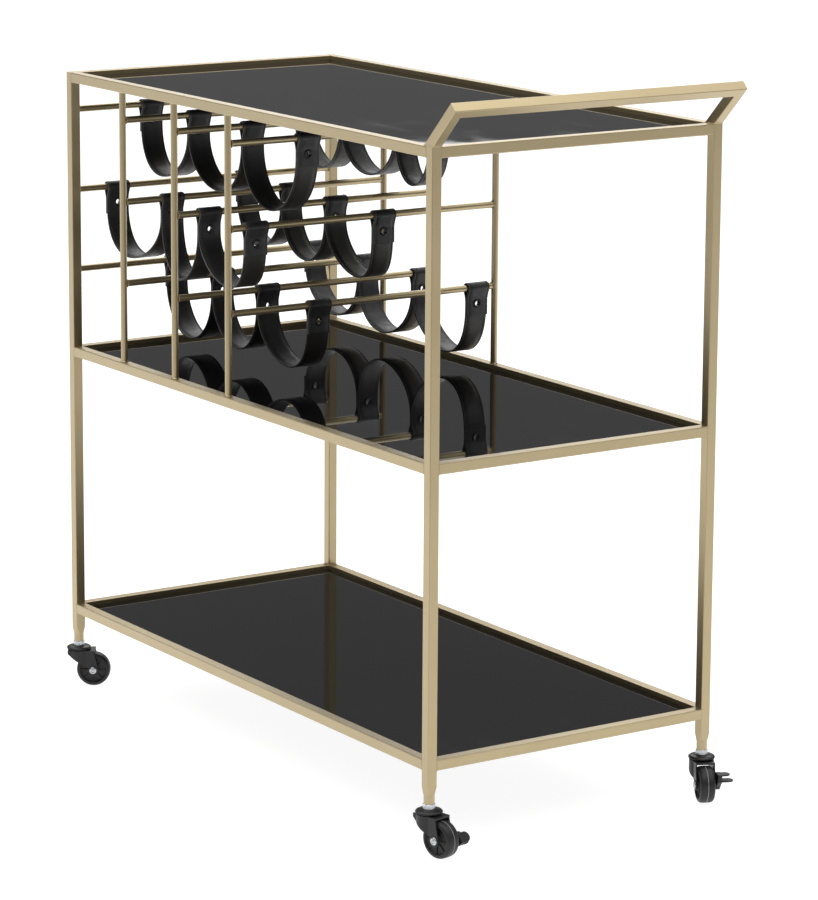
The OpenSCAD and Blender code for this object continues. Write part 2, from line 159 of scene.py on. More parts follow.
tree.links.new(split.outputs["Z"], lean.inputs[2])
rise = node(tree, "ShaderNodeMapRange", interpolation_type="SMOOTHSTEP",
            From_Min=CEILING_FROM, From_Max=CEILING_TO)
tree.links.new(lean.outputs["Value"], rise.inputs["Value"])
walls_and_ceiling = node(tree, "ShaderNodeMix", data_type="FLOAT")
tree.links.new(rise.outputs["Result"], walls_and_ceiling.inputs["Factor"])
tree.links.new(wall.outputs["Result"], walls_and_ceiling.inputs[2])
walls_and_ceiling.inputs[3].default_value = CEILING
tree.links.new(walls_and_ceiling.outputs[0], sky.inputs["Color"])


def softbox(name, at, size, watts):
    """A square area light that faces the middle of the cart."""
    data = bpy.data.lights.new(name, "AREA")
    data.size = size
    data.energy = watts
    lamp = bpy.data.objects.new(name, data)
    bpy.context.collection.objects.link(lamp)
    lamp.location = at
    lamp.rotation_euler = (BOX_TARGET - Vector(at)).to_track_quat("-Z", "Y").to_euler()


softbox("overhead", (0.3, -0.3, 3.2), 3.0, 42)
softbox("behind_above", (-2.3, 1.6, 2.1), 2.0, 20)
softbox("front_left", (-1.2, -2.6, 3.0), 1.6, 14)
softbox("right_end", (2.8, 1.4, 2.8), 1.6, 8)

# ---- Welded frame ----
# Posts, rails and the push handle of square steel tube, welded and sprayed in champagne gold.
# The paint is a metallic one: fine flake, a little orange peel, and tone that drifts slowly.

GOLD = (0.50, 0.412, 0.242, 1)
GOLD_DEEP = (0.39, 0.305, 0.165, 1)
FLAKE_SHARE = 0.45
DRIFT_SHARE = 0.55


def group(name, inputs, outputs):
    """An empty shader node group with its float inputs and its named outputs."""
    made = bpy.data.node_groups.new(name, "ShaderNodeTree")
    for socket, default in inputs.items():
        s = made.interface.new_socket(socket, in_out="INPUT", socket_type="NodeSocketFloat")
        s.default_value = default
    for socket, kind in outputs.items():
        made.interface.new_socket(socket, in_out="OUTPUT", socket_type="NodeSocket" + kind)
    return made, made.nodes.new("NodeGroupInput"), made.nodes.new("NodeGroupOutput")


# Fine grain of sprayed or moulded surfaces: flake for colour, peel for height, drift for tone
surface_grain, given, result = group(
    "surface_grain", {"Flake Size": 0.0006, "Peel Size": 0.0025, "Drift Size": 0.08},
    {"Flake": "Float", "Peel": "Float", "Drift": "Float"})
place = node(surface_grain, "ShaderNodeTexCoord")
for label, detail in (("Flake", 1.0), ("Peel", 2.0), ("Drift", 3.0)):
    over = node(surface_grain, "ShaderNodeMath", operation="DIVIDE")
    over.inputs[0].default_value = 1.0
    surface_grain.links.new(given.outputs[label + " Size"], over.inputs[1])
    cloud = node(surface_grain, "ShaderNodeTexNoise", Detail=detail)
    surface_grain.links.new(place.outputs["Object"], cloud.inputs["Vector"])
    surface_grain.links.new(over.outputs[0], cloud.inputs["Scale"])
    surface_grain.links.new(cloud.outputs["Fac"], result.inputs[label])


def grained(tree, shader, light, deep, rough, bump, peel=0.0025, flake=0.0006, drift=0.08):
    """Feeds a shader two tones mixed by drift and flake, a roughness range and a peel bump."""
    grain = node(tree, "ShaderNodeGroup", node_tree=surface_grain)
    grain.inputs["Flake Size"].default_value = flake
    grain.inputs["Peel Size"].default_value = peel
    grain.inputs["Drift Size"].default_value = drift
    blend = node(tree, "ShaderNodeMath", operation="MULTIPLY_ADD")
    blend.inputs[1].default_value = FLAKE_SHARE
    spread = node(tree, "ShaderNodeMath", operation="MULTIPLY")
    spread.inputs[1].default_value = DRIFT_SHARE
    tree.links.new(grain.outputs["Drift"], spread.inputs[0])
    tree.links.new(grain.outputs["Flake"], blend.inputs[0])
    tree.links.new(spread.outputs[0], blend.inputs[2])
    tone = node(tree, "ShaderNodeMix", data_type="RGBA")
    tone.inputs[6].default_value = deep
    tone.inputs[7].default_value = light
    tree.links.new(blend.outputs[0], tone.inputs["Factor"])
    tree.links.new(tone.outputs[2], shader.inputs["Base Color"])
    gloss = node(tree, "ShaderNodeMapRange", To_Min=rough[0], To_Max=rough[1])
    tree.links.new(grain.outputs["Peel"], gloss.inputs["Value"])
    tree.links.new(gloss.outputs["Result"], shader.inputs["Roughness"])
    relief = node(tree, "ShaderNodeBump", Distance=bump, Strength=0.6)
    tree.links.new(grain.outputs["Peel"], relief.inputs["Height"])
    tree.links.new(relief.outputs["Normal"], shader.inputs["Normal"])


gold_paint, shader, tree = material("champagne_paint")
grained(tree, shader, GOLD, GOLD_DEEP, (0.30, 0.42), 0.00004)
shader.inputs["Metallic"].default_value = 0.85
shader.inputs["Coat Weight"].default_value = 0.5
shader.inputs["Coat Roughness"].default_value = 0.22


def dress(mat, *names):
    """Gives CAD pieces their finished material."""
    for name in names:
        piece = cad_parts[name]
        piece.data.materials.clear()
        piece.data.materials.append(mat)


dress(gold_paint, *[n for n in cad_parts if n.split("_")[0] in ("leg", "rail", "handle")])

SEAM_R = 0.6 * MM
SEAM_STEP = 0.8 * MM
SEAM_SIDES = 8
RAIL_INSET = 0.35 * MM
ARM_INSET = 0.4 * MM
ARM_LIFT = 0.2 * MM
FOOT_BAND = 0.5 * MM


def cad_points(name):
    """The places of a CAD piece's vertices."""
    return [v.co.copy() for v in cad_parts[name].data.vertices]


def extent(points):
    """The lowest and the highest corner of some points."""
    return Vector(map(min, zip(*points))), Vector(map(max, zip(*points)))


def revolve(profile, steps, place, ripple=0.0, closed=True):
    """Points and faces of a (radius, height) profile turned about Z, then set in its place."""
    verts, faces, n = [], [], len(profile)
    for i in range(steps):
        a = 2 * math.pi * i / steps
        for r, h in profile:
            bump = 1 + ripple * noise.noise(Vector((3 * math.cos(a), 3 * math.sin(a), 900 * h)))
            verts.append(place @ Vector((r * bump * math.cos(a), r * bump * math.sin(a), h)))
    for i in range(steps):
        j = (i + 1) % steps
        for k in range(n if closed else n - 1):
            m = (k + 1) % n
            faces.append((i * n + k, j * n + k, j * n + m, i * n + m))
    return verts, faces


def gathered(parts):
    """Several (verts, faces) lists as one."""
    verts, faces = [], []
    for v, f in parts:
        base = len(verts)
        verts += v
        faces += [tuple(base + i for i in face) for face in f]
    return verts, faces


def seam_line(p, q):
    """A rippled bead of weld from one corner of a joint to the next."""
    way = q - p
    count = max(4, round(way.length / SEAM_STEP))
    profile = [(0.02 * SEAM_R, -0.8 * SEAM_R), (0.6 * SEAM_R, -0.6 * SEAM_R)]
    for k in range(count + 1):
        lump = noise.noise(Vector(p) * 400 + Vector((k, 0, 0)))
        swell = 1 + 0.16 * math.sin(2.4 * k) + 0.25 * lump
        profile.append((SEAM_R * swell, way.length * k / count))
    profile += [(0.6 * SEAM_R, way.length + 0.6 * SEAM_R),
                (0.02 * SEAM_R, way.length + 0.8 * SEAM_R)]
    place = Matrix.Translation(p) @ way.to_track_quat("Z", "Y").to_matrix().to_4x4()
    return revolve(profile, SEAM_SIDES, place, closed=False)


def seam_round(corners):
    """Weld beads from corner to corner round a joint."""
    return [seam_line(Vector(p), Vector(q)) for p, q in zip(corners, corners[1:] + corners[:1])]


def square(low, high, inset, first, second):
    """The four corners of a box's outline in two of its axes, drawn in by an inset."""
    u0, u1 = low[first] + inset, high[first] - inset
    v0, v1 = low[second] + inset, high[second] - inset
    return [(u0, v0), (u1, v0), (u1, v1), (u0, v1)]


seams = []
for level in ("top", "middle", "bottom"):
    for side in ("front", "back", "left", "right"):
        low, high = extent(cad_points("rail_" + level + "_" + side))
        for end in (low, high):
            if side in ("front", "back"):
                ring = [(end.x, y, z) for y, z in square(low, high, RAIL_INSET, 1, 2)]
            else:
                ring = [(x, end.y, z) for x, z in square(low, high, RAIL_INSET, 0, 2)]
            seams += seam_round(ring)
for side in ("front", "back"):
    arm = cad_points("handle_arm_" + side)
    base = extent(arm)[0].z
    foot_low, foot_high = extent([p for p in arm if p.z < base + FOOT_BAND])
    seams += seam_round([(x, y, base + ARM_LIFT)
                         for x, y in square(foot_low, foot_high, ARM_INSET, 0, 1)])
joint_seams = mesh_piece("joint_seams", *gathered(seams), gold_paint)
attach(joint_seams, "frame")

# ---- Glass shelves ----
# Three panes of black float glass laid into the rectangles on welded tabs and clear pads.
# The glass is a plain mirror-like black with the faintest wipe marks.

black_glass, shader, tree = material("black_glass")
shader.inputs["Base Color"].default_value = (0.006, 0.006, 0.007, 1)
shader.inputs["IOR"].default_value = 1.5
smear = node(tree, "ShaderNodeTexNoise", Scale=9.0, Detail=4.0)
wiped = node(tree, "ShaderNodeMapRange", From_Min=0.4, From_Max=0.8, To_Min=0.012, To_Max=0.05)
tree.links.new(smear.outputs["Fac"], wiped.inputs["Value"])
tree.links.new(wiped.outputs["Result"], shader.inputs["Roughness"])
dress(black_glass, "glass_top", "glass_middle", "glass_bottom")
dress(gold_paint, "glass_tabs")

clear_vinyl, shader, tree = material("clear_vinyl")
grained(tree, shader, (0.80, 0.82, 0.83, 1), (0.70, 0.72, 0.74, 1), (0.25, 0.4), 0.00002)
shader.inputs["Transmission Weight"].default_value = 0.6
dress(clear_vinyl, "glass_pads")

# ---- Bottle rack rods ----
# Round uprights and bars, butt welded; each joint shows a small painted weld bead.
# The beads are rings that flare from the rod onto the rail or the upright it meets.

ROD_R = 4 * MM
BEAD_RISE = 1.3 * MM
BEAD_FLARE = 1.1 * MM
BEAD_STEPS = 28

dress(gold_paint, "rack_uprights_front", "rack_uprights_back",
      "rack_bars_upper", "rack_bars_middle", "rack_bars_lower")


def clusters(name, count):
    """Boxes of the like solids that stand in an even row along X in one CAD piece."""
    points = cad_points(name)
    low = min(p.x for p in points)
    span = max(p.x for p in points) - low
    sets = [[] for _ in range(count)]
    for p in points:
        sets[round((count - 1) * (p.x - low) / span)].append(p)
    return [extent(g) for g in sets]


def bead_at(at, toward):
    """A weld bead round a rod's end at a point, flaring towards what it is welded to."""
    place = Matrix.Translation(at) @ Vector(toward).to_track_quat("Z", "Y").to_matrix().to_4x4()
    profile = [(ROD_R - 0.3 * MM, -BEAD_RISE), (ROD_R + 0.15 * MM, -BEAD_RISE),
               (ROD_R + 0.45 * BEAD_FLARE, -0.55 * BEAD_RISE), (ROD_R + BEAD_FLARE, 0.0),
               (ROD_R + 0.8 * BEAD_FLARE, 0.3 * MM), (ROD_R - 0.3 * MM, 0.3 * MM)]
    return revolve(profile, BEAD_STEPS, place, ripple=0.05)


beads = []
for side in ("front", "back"):
    for low, high in clusters("rack_uprights_" + side, 3):
        mid = (low + high) / 2
        beads.append(bead_at((mid.x, mid.y, high.z), (0, 0, 1)))
        beads.append(bead_at((mid.x, mid.y, low.z), (0, 0, -1)))
for row in ("upper", "middle", "lower"):
    for i, (low, high) in enumerate(clusters("rack_bars_" + row, 4)):
        mid = (low + high) / 2
        sunk = 0 if i == 0 else 0.8 * MM
        beads.append(bead_at((mid.x, high.y - sunk, mid.z), (0, 1, 0)))
        beads.append(bead_at((mid.x, low.y + sunk, mid.z), (0, -1, 0)))
weld_beads = mesh_piece("weld_beads", *gathered(beads), gold_paint)
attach(weld_beads, "frame")

# ---- Leather bands ----
# Six bands of black belt leather, each wrapped over its four bars and hung in three slings.
# The edges are creased and stitched, and the rounded edges are coloured a shade lighter than the
# face: a painted highlight.

BAND_W = 30 * MM
BAND_T = 2 * MM
EYELET_DROP = 19 * MM
PINCH_TOP = 12.5 * MM
PINCH_LOW = 23 * MM
SLING_TOP = 24 * MM
FLAP_DROP = 33 * MM
LAYER_X = 1.1 * MM
WRAP_R = ROD_R + 0.4 * MM + BAND_T / 2
CREASE_IN = 2.6 * MM
CREASE_DEEP = 0.28 * MM
STITCH_PITCH = 3.4 * MM
STITCH_LONG = 2.4 * MM
STITCH_R = 0.33 * MM
STITCH_SUNK = 0.12 * MM
HOLE_R = 3.9 * MM
HOLE_REACH = 6 * MM
REVERSE = 1.0

leather, shader, tree = material("black_leather")
across = node(tree, "ShaderNodeSeparateXYZ")
tree.links.new(node(tree, "ShaderNodeUVMap").outputs["UV"], across.inputs["Vector"])
flesh = node(tree, "ShaderNodeMath", operation="GREATER_THAN")
flesh.inputs[1].default_value = REVERSE / 2
tree.links.new(across.outputs["Y"], flesh.inputs[0])
fold = node(tree, "ShaderNodeMath", operation="SUBTRACT")
tree.links.new(across.outputs["Y"], fold.inputs[0])
tree.links.new(flesh.outputs[0], fold.inputs[1])
width = node(tree, "ShaderNodeMath", operation="ABSOLUTE")
tree.links.new(fold.outputs[0], width.inputs[0])
# Mask of the band's rounded edges on both faces, where the painted highlight goes.
edge = node(tree, "ShaderNodeMapRange", interpolation_type="SMOOTHSTEP",
            From_Min=BAND_W / 2 - 1.1 * MM, From_Max=BAND_W / 2 - 0.3 * MM)
tree.links.new(width.outputs[0], edge.inputs["Value"])
spot = node(tree, "ShaderNodeTexCoord")
pebble = node(tree, "ShaderNodeTexVoronoi", Scale=900.0, feature="SMOOTH_F1")
tree.links.new(spot.outputs["Object"], pebble.inputs["Vector"])
wrinkle = node(tree, "ShaderNodeTexNoise", Scale=160.0, Detail=6.0, Roughness=0.6)
tree.links.new(spot.outputs["Object"], wrinkle.inputs["Vector"])
patch = node(tree, "ShaderNodeTexNoise", Scale=26.0, Detail=3.0)
tree.links.new(spot.outputs["Object"], patch.inputs["Vector"])
face = node(tree, "ShaderNodeMix", data_type="RGBA")
face.inputs[6].default_value = (0.010, 0.010, 0.011, 1)
face.inputs[7].default_value = (0.020, 0.020, 0.022, 1)
tree.links.new(patch.outputs["Fac"], face.inputs["Factor"])
back = node(tree, "ShaderNodeMix", data_type="RGBA")
back.inputs[7].default_value = (0.020, 0.018, 0.016, 1)
tree.links.new(flesh.outputs[0], back.inputs["Factor"])
tree.links.new(face.outputs[2], back.inputs[6])
# Painted highlight: the rounded edges and the cut edge are mixed towards a paler grey.
painted_edge_highlight = node(tree, "ShaderNodeMix", data_type="RGBA")
painted_edge_highlight.inputs[7].default_value = (0.060, 0.058, 0.056, 1)
tree.links.new(edge.outputs["Result"], painted_edge_highlight.inputs["Factor"])
tree.links.new(back.outputs[2], painted_edge_highlight.inputs[6])
tree.links.new(painted_edge_highlight.outputs[2], shader.inputs["Base Color"])
sheen = node(tree, "ShaderNodeMapRange", From_Min=0.3, From_Max=0.7, To_Min=0.36, To_Max=0.56)
tree.links.new(wrinkle.outputs["Fac"], sheen.inputs["Value"])
tree.links.new(sheen.outputs["Result"], shader.inputs["Roughness"])
height = node(tree, "ShaderNodeMath", operation="MULTIPLY_ADD")
height.inputs[1].default_value = 0.6
tree.links.new(pebble.outputs["Distance"], height.inputs[0])
tree.links.new(wrinkle.outputs["Fac"], height.inputs[2])
relief = node(tree, "ShaderNodeBump", Distance=0.00022, Strength=0.7)
tree.links.new(height.outputs[0], relief.inputs["Height"])
tree.links.new(relief.outputs["Normal"], shader.inputs["Normal"])

thread, shader, tree = material("waxed_thread")
grained(tree, shader, (0.085, 0.080, 0.075, 1), (0.045, 0.043, 0.041, 1), (0.5, 0.7), 0.00003)

eyelet_black, shader, tree = material("eyelet_enamel")
grained(tree, shader, (0.030, 0.030, 0.032, 1), (0.018, 0.018, 0.019, 1), (0.22, 0.34), 0.00002)
shader.inputs["Metallic"].default_value = 0.6


def wrap(x, y, z):
    """The band's middle line up, over a bar and down again, pinched below it."""
    tip = Vector((LAYER_X, -PINCH_TOP))
    start = math.atan2(tip.y, tip.x) + math.acos(WRAP_R / tip.length)
    turns = 16
    arc = [start + (math.pi - 2 * start) * k / turns for k in range(turns, -1, -1)]
    side = [(-LAYER_X, -PINCH_LOW), (-LAYER_X, -0.5 * (PINCH_LOW + PINCH_TOP)),
            (-LAYER_X, -PINCH_TOP)]
    over = [(WRAP_R * math.cos(a), WRAP_R * math.sin(a)) for a in arc]
    return [Vector((x + u, y, z + v)) for u, v in side + over + [(-u, v) for u, v in side[::-1]]]


def hang(a, b, low):
    """A sling's middle line between two bars, down to its lowest point."""
    steps = 30
    x0, x1 = a.x + LAYER_X, b.x - LAYER_X
    mid, reach = (x0 + x1) / 2, (x1 - x0) / 2
    top = a.z - SLING_TOP
    drop = top - (low.z + BAND_T / 2)
    line = []
    for k in range(1, steps):
        t = math.pi * k / steps
        line.append(Vector((mid - reach * math.cos(t) + (low.x - mid) * math.sin(t) ** 2,
                            a.y + (b.y - a.y) * (1 - math.cos(t)) / 2,
                            top - drop * math.sin(t))))
    return line


def eased(line, passes=2):
    """A line with its corners cut, which keeps its ends."""
    for _ in range(passes):
        cut = [line[0]]
        for p, q in zip(line, line[1:]):
            cut += [p.lerp(q, 0.25), p.lerp(q, 0.75)]
        line = cut + [line[-1]]
    return line


def band_line(bars, lows):
    """The whole band's middle line, from one loose flap to the other."""
    first, last = bars[0], bars[-1]
    line = [Vector((first.x - LAYER_X, first.y, first.z - FLAP_DROP))]
    for i, bar in enumerate(bars):
        line += wrap(bar.x, bar.y, bar.z)
        if i < len(lows):
            line += hang(bar, bars[i + 1], lows[i])
    line.append(Vector((last.x + LAYER_X, last.y, last.z - FLAP_DROP)))
    return eased(line)


# Half of the band's section: (across, out of the face), from one edge to the other
half_w = BAND_W / 2
half_t = BAND_T / 2
groove = half_w - CREASE_IN
FACE_SIDE = [(-half_w, 0), (-half_w + 0.18 * MM, 0.62 * half_t), (-half_w + 0.7 * MM, 0.94 * half_t),
             (-half_w + 1.3 * MM, half_t), (-groove - 0.45 * MM, half_t),
             (-groove, half_t - CREASE_DEEP), (-groove + 0.45 * MM, half_t),
             (-0.4 * half_w, half_t), (0, half_t), (0.4 * half_w, half_t),
             (groove - 0.45 * MM, half_t), (groove, half_t - CREASE_DEEP),
             (groove + 0.45 * MM, half_t), (half_w - 1.3 * MM, half_t),
             (half_w - 0.7 * MM, 0.94 * half_t), (half_w - 0.18 * MM, 0.62 * half_t)]
SECTION = FACE_SIDE + [(-w, -n) for w, n in FACE_SIDE]


def frames_along(line):
    """For each point of a line: the point, its direction, the face's normal, the way along it."""
    out, way = [], 0.0
    for k, p in enumerate(line):
        along = line[min(k + 1, len(line) - 1)] - line[max(k - 1, 0)]
        along.normalize()
        normal = Vector((-along.z, 0, along.x)).normalized()
        if k:
            way += (p - line[k - 1]).length
        out.append((p, along, normal, way))
    return out


def band_mesh(name, steps):
    """The band as a closed strip of leather with creased faces, and its UVs in metres."""
    n = len(SECTION)
    verts, ways = [], []
    for p, along, normal, way in steps:
        curl = 0.25 * MM * noise.noise(Vector((way * 18, p.z * 4, len(name))))
        for w, out in SECTION:
            cup = curl * (2 * w / BAND_W) ** 2
            verts.append(p + Vector((0, w, 0)) + normal * (out + cup))
        ways.append(way)
    faces = []
    for k in range(len(steps) - 1):
        for j in range(n):
            m = (j + 1) % n
            faces.append((k * n + j, k * n + m, (k + 1) * n + m, (k + 1) * n + j))
    faces.append(tuple(range(n))[::-1])
    faces.append(tuple((len(steps) - 1) * n + j for j in range(n)))
    piece = mesh_piece(name, verts, faces, leather)
    layer = piece.data.uv_layers.new(name="UVMap")
    for index, poly in enumerate(piece.data.polygons):
        strip = index % n if index < (len(steps) - 1) * n else 0
        flip = REVERSE if strip >= len(FACE_SIDE) else 0.0
        for loop in poly.loop_indices:
            v = piece.data.loops[loop].vertex_index
            layer.data[loop].uv = (ways[v // n], SECTION[v % n][0] + flip)
    return piece


def eyelet_place(bar):
    """The matrix of the eyelet below a bar, with its Z through the band's two layers."""
    return (Matrix.Translation((bar.x, bar.y, bar.z - EYELET_DROP))
            @ Matrix.Rotation(math.pi / 2, 4, "Y"))


def punch(piece, bars):
    """Cuts a round hole through both layers of a piece below each bar."""
    profile = [(0.0001 * MM, -HOLE_REACH), (HOLE_R, -HOLE_REACH), (HOLE_R, HOLE_REACH),
               (0.0001 * MM, HOLE_REACH)]
    holes = [revolve(profile, 24, eyelet_place(b)) for b in bars]
    cutter = mesh_piece("punch", *gathered(holes), leather)
    fixed = bmesh.new()
    fixed.from_mesh(cutter.data)
    bmesh.ops.remove_doubles(fixed, verts=fixed.verts, dist=0.001 * MM)
    bmesh.ops.recalc_face_normals(fixed, faces=fixed.faces)
    fixed.to_mesh(cutter.data)
    fixed.free()
    cut = piece.modifiers.new("punch", "BOOLEAN")
    cut.operation = "DIFFERENCE"
    cut.solver = "EXACT"
    cut.object = cutter
    bpy.context.view_layer.update()
    done = bpy.data.meshes.new_from_object(
        piece.evaluated_get(bpy.context.evaluated_depsgraph_get()))
    piece.modifiers.clear()
    piece.data = done
    bpy.data.objects.remove(cutter)


def stitch(p, along, normal):
    """One stitch: a short six-sided bead of thread lying along the seam."""
    sideways = along.cross(normal)
    verts = [p - along * STITCH_LONG / 2]
    for lift in (-0.5, 0.5):
        for k in range(6):
            a = math.pi * k / 3
            verts.append(p + along * lift * STITCH_LONG * 0.62
                         + (normal * math.cos(a) + sideways * math.sin(a)) * STITCH_R)
    verts.append(p + along * STITCH_LONG / 2)
    faces = [(0, 1 + (k + 1) % 6, 1 + k) for k in range(6)]
    faces += [(1 + k, 1 + (k + 1) % 6, 7 + (k + 1) % 6, 7 + k) for k in range(6)]
    faces += [(13, 7 + k, 7 + (k + 1) % 6) for k in range(6)]
    return verts, faces


def seam(steps):
    """Stitches along both creases on both faces, at an even pitch along the band."""
    made, due = [], STITCH_PITCH
    for (p, t0, n0, w0), (q, t1, n1, w1) in zip(steps, steps[1:]):
        while due <= w1:
            f = (due - w0) / (w1 - w0)
            at, along, normal = p.lerp(q, f), t0.lerp(t1, f), n0.lerp(n1, f)
            for edge_y in (-groove, groove):
                for face_n in (-1, 1):
                    lift = normal * face_n * (half_t - STITCH_SUNK)
                    made.append(stitch(at + Vector((0, edge_y, 0)) + lift,
                                       along.normalized(), normal.normalized()))
            due += STITCH_PITCH
    return gathered(made)


EYELET_HALF = 2.2 * MM
EYELET_PROFILE = [(3.0 * MM, EYELET_HALF), (3.15 * MM, EYELET_HALF + 0.55 * MM),
                  (3.7 * MM, EYELET_HALF + 0.85 * MM), (4.7 * MM, EYELET_HALF + 0.78 * MM),
                  (5.35 * MM, EYELET_HALF + 0.42 * MM), (5.5 * MM, EYELET_HALF + 0.12 * MM),
                  (5.3 * MM, EYELET_HALF), (3.8 * MM, EYELET_HALF - 0.05 * MM)]
EYELET_PROFILE += [(r, -a) for r, a in EYELET_PROFILE[::-1]]

for row in ("upper", "middle", "lower"):
    for side in ("front", "back"):
        place_name = row + "_" + side
        bars = []
        for low, high in clusters("eyelets_" + place_name, 4):
            mid = (low + high) / 2
            bars.append(mid + Vector((0, 0, EYELET_DROP)))
        skin = cad_points("strap_" + place_name)
        lows = [min((p for p in skin if a.x + 10 * MM < p.x < b.x - 10 * MM), key=lambda p: p.z)
                for a, b in zip(bars, bars[1:])]
        steps = frames_along(band_line(bars, lows))
        band = band_mesh("band_" + place_name, steps)
        punch(band, bars)
        stitches = mesh_piece("stitching_" + place_name, *seam(steps), thread)
        rings = [revolve(EYELET_PROFILE, 32, eyelet_place(b)) for b in bars]
        rivets = mesh_piece("eyelet_rings_" + place_name, *gathered(rings), eyelet_black)
        for piece, slot in ((band, "black_leather"), (stitches, "black_leather"),
                            (rivets, "black_eyelet")):
            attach(piece, "band_" + place_name)
        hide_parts("strap_" + place_name)
        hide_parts("eyelets_" + place_name)

# ---- Caster stems, race caps and washers ----
# Under each post's foot: a chamfered zinc nut on its flange, a domed black race cap, a washer.
# All of them stay with the frame while the forks swivel below.

TURN_STEPS = 64
NUT = [(4.0, 51.6), (6.6, 51.6), (6.93, 52.1), (6.93, 55.3), (6.2, 56.0), (4.0, 56.0)]
NUT_FLANGE = [(4.0, 50.7), (6.5, 50.7), (6.9, 50.9), (6.9, 51.3), (6.5, 51.6), (4.0, 51.6)]
RACE_CAP = [(4.4, 46.5), (14.4, 46.5), (14.9, 46.7), (15.0, 47.1), (14.95, 47.6), (14.6, 48.2),
            (13.9, 48.9), (12.6, 49.5), (10.6, 49.9), (9.4, 50.0), (9.0, 50.2), (8.7, 50.6),
            (8.2, 50.7), (4.4, 50.7)]
WASHER = [(5.0, 45.5), (12.9, 45.5), (13.2, 45.7), (13.2, 46.3), (12.9, 46.5), (5.0, 46.5)]
BLACK = (0.016, 0.016, 0.017, 1)
BLACK_DEEP = (0.007, 0.007, 0.008, 1)
SHARP_ANGLE = 30
NUT_TURN = 20
SWIVELS = {"front_left": 55, "front_right": 12, "back_left": -70, "back_right": -25}

zinc, shader, tree = material("bright_zinc")
grained(tree, shader, (0.60, 0.62, 0.64, 1), (0.42, 0.44, 0.46, 1), (0.22, 0.38), 0.00004,
        peel=0.0012)
shader.inputs["Metallic"].default_value = 1.0
black_steel, shader, tree = material("black_steel")
grained(tree, shader, BLACK, BLACK_DEEP, (0.30, 0.44), 0.00005, peel=0.0016)
shader.inputs["Specular IOR Level"].default_value = 0.4
black_nylon, shader, tree = material("black_nylon")
grained(tree, shader, (0.022, 0.022, 0.023, 1), (0.012, 0.012, 0.012, 1), (0.38, 0.55), 0.00006,
        peel=0.0011)
shader.inputs["Specular IOR Level"].default_value = 0.35


def millimetres(profile):
    """A profile given in millimetres, in metres."""
    return [(r * MM, h * MM) for r, h in profile]


def under_post(corner):
    """The swivel's axis: a matrix at the middle of a post, on the floor."""
    low, high = extent(cad_points("leg_" + corner))
    return Matrix.Translation(((low.x + high.x) / 2, (low.y + high.y) / 2, 0))


def softened(name, mat, width):
    """A copy of a CAD piece with its sharp edges rounded over."""
    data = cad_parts[name].data
    piece = mesh_piece("soft_" + name, cad_points(name), [tuple(f.vertices) for f in data.polygons],
                       mat, smooth=False)
    shape = bmesh.new()
    shape.from_mesh(piece.data)
    bmesh.ops.remove_doubles(shape, verts=shape.verts, dist=0.001 * MM)
    bmesh.ops.dissolve_limit(shape, angle_limit=math.radians(1), verts=shape.verts, edges=shape.edges)
    shape.to_mesh(piece.data)
    shape.free()
    rounding = piece.modifiers.new("rounding", "BEVEL")
    rounding.width = width
    rounding.segments = 2
    rounding.limit_method = "ANGLE"
    rounding.angle_limit = math.radians(SHARP_ANGLE)
    return piece


nuts, flanges, caps, washers = [], [], [], []
for corner in SWIVELS:
    axis = under_post(corner)
    nuts.append(revolve(millimetres(NUT), 6, axis @ Matrix.Rotation(math.radians(NUT_TURN), 4, "Z")))
    flanges.append(revolve(millimetres(NUT_FLANGE), TURN_STEPS, axis))
    caps.append(revolve(millimetres(RACE_CAP), TURN_STEPS, axis))
    washers.append(revolve(millimetres(WASHER), TURN_STEPS, axis))
for name, parts, mat, slot, smooth in (
        ("stem_nuts", nuts, zinc, "zinc", False), ("stem_flanges", flanges, zinc, "zinc", True),
        ("race_caps", caps, black_steel, "black_steel", True),
        ("race_washers", washers, black_nylon, "black_nylon", True)):
    piece = mesh_piece(name, *gathered(parts), mat, smooth=smooth)
    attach(piece, "frame")
    if name == "race_caps":
        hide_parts("caster_race_caps")
    if name == "race_washers":
        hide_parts("caster_washers")
dress(zinc, "caster_stems")

# ---- Caster forks ----
# Pressed steel: a round top plate with a cheek on each side down to the axle's eye.
# The pressing leaves rounded edges and a raised ring round each eye, sprayed black.

TRAIL = 18 * MM
AXLE_Z = 20.6 * MM
CHEEK_OUT = 11.1 * MM
FORK_EDGE = 0.35 * MM
EYE_RING = [(4.7, -0.1), (6.0, -0.1), (6.0, 0.12), (5.7, 0.26), (5.0, 0.26), (4.7, 0.12)]


def along_axle(corner):
    """The axle's matrix: its origin on the axle's middle, its Z along the axle."""
    turn = Matrix.Rotation(math.radians(SWIVELS[corner]), 4, "Z")
    return (under_post(corner) @ turn @ Matrix.Translation((TRAIL, 0, AXLE_Z))
            @ Matrix.Rotation(math.radians(-90), 4, "X"))


for corner in SWIVELS:
    fork = softened("fork_" + corner, black_steel, FORK_EDGE)
    rings = [revolve([(r, side * (h + CHEEK_OUT)) for r, h in millimetres(EYE_RING)], TURN_STEPS,
                     along_axle(corner)) for side in (-1, 1)]
    eyes = mesh_piece("eye_rings_" + corner, *gathered(rings), black_steel)
    for piece in (fork, eyes):
        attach(piece, "swivel_" + corner)
    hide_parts("fork_" + corner)
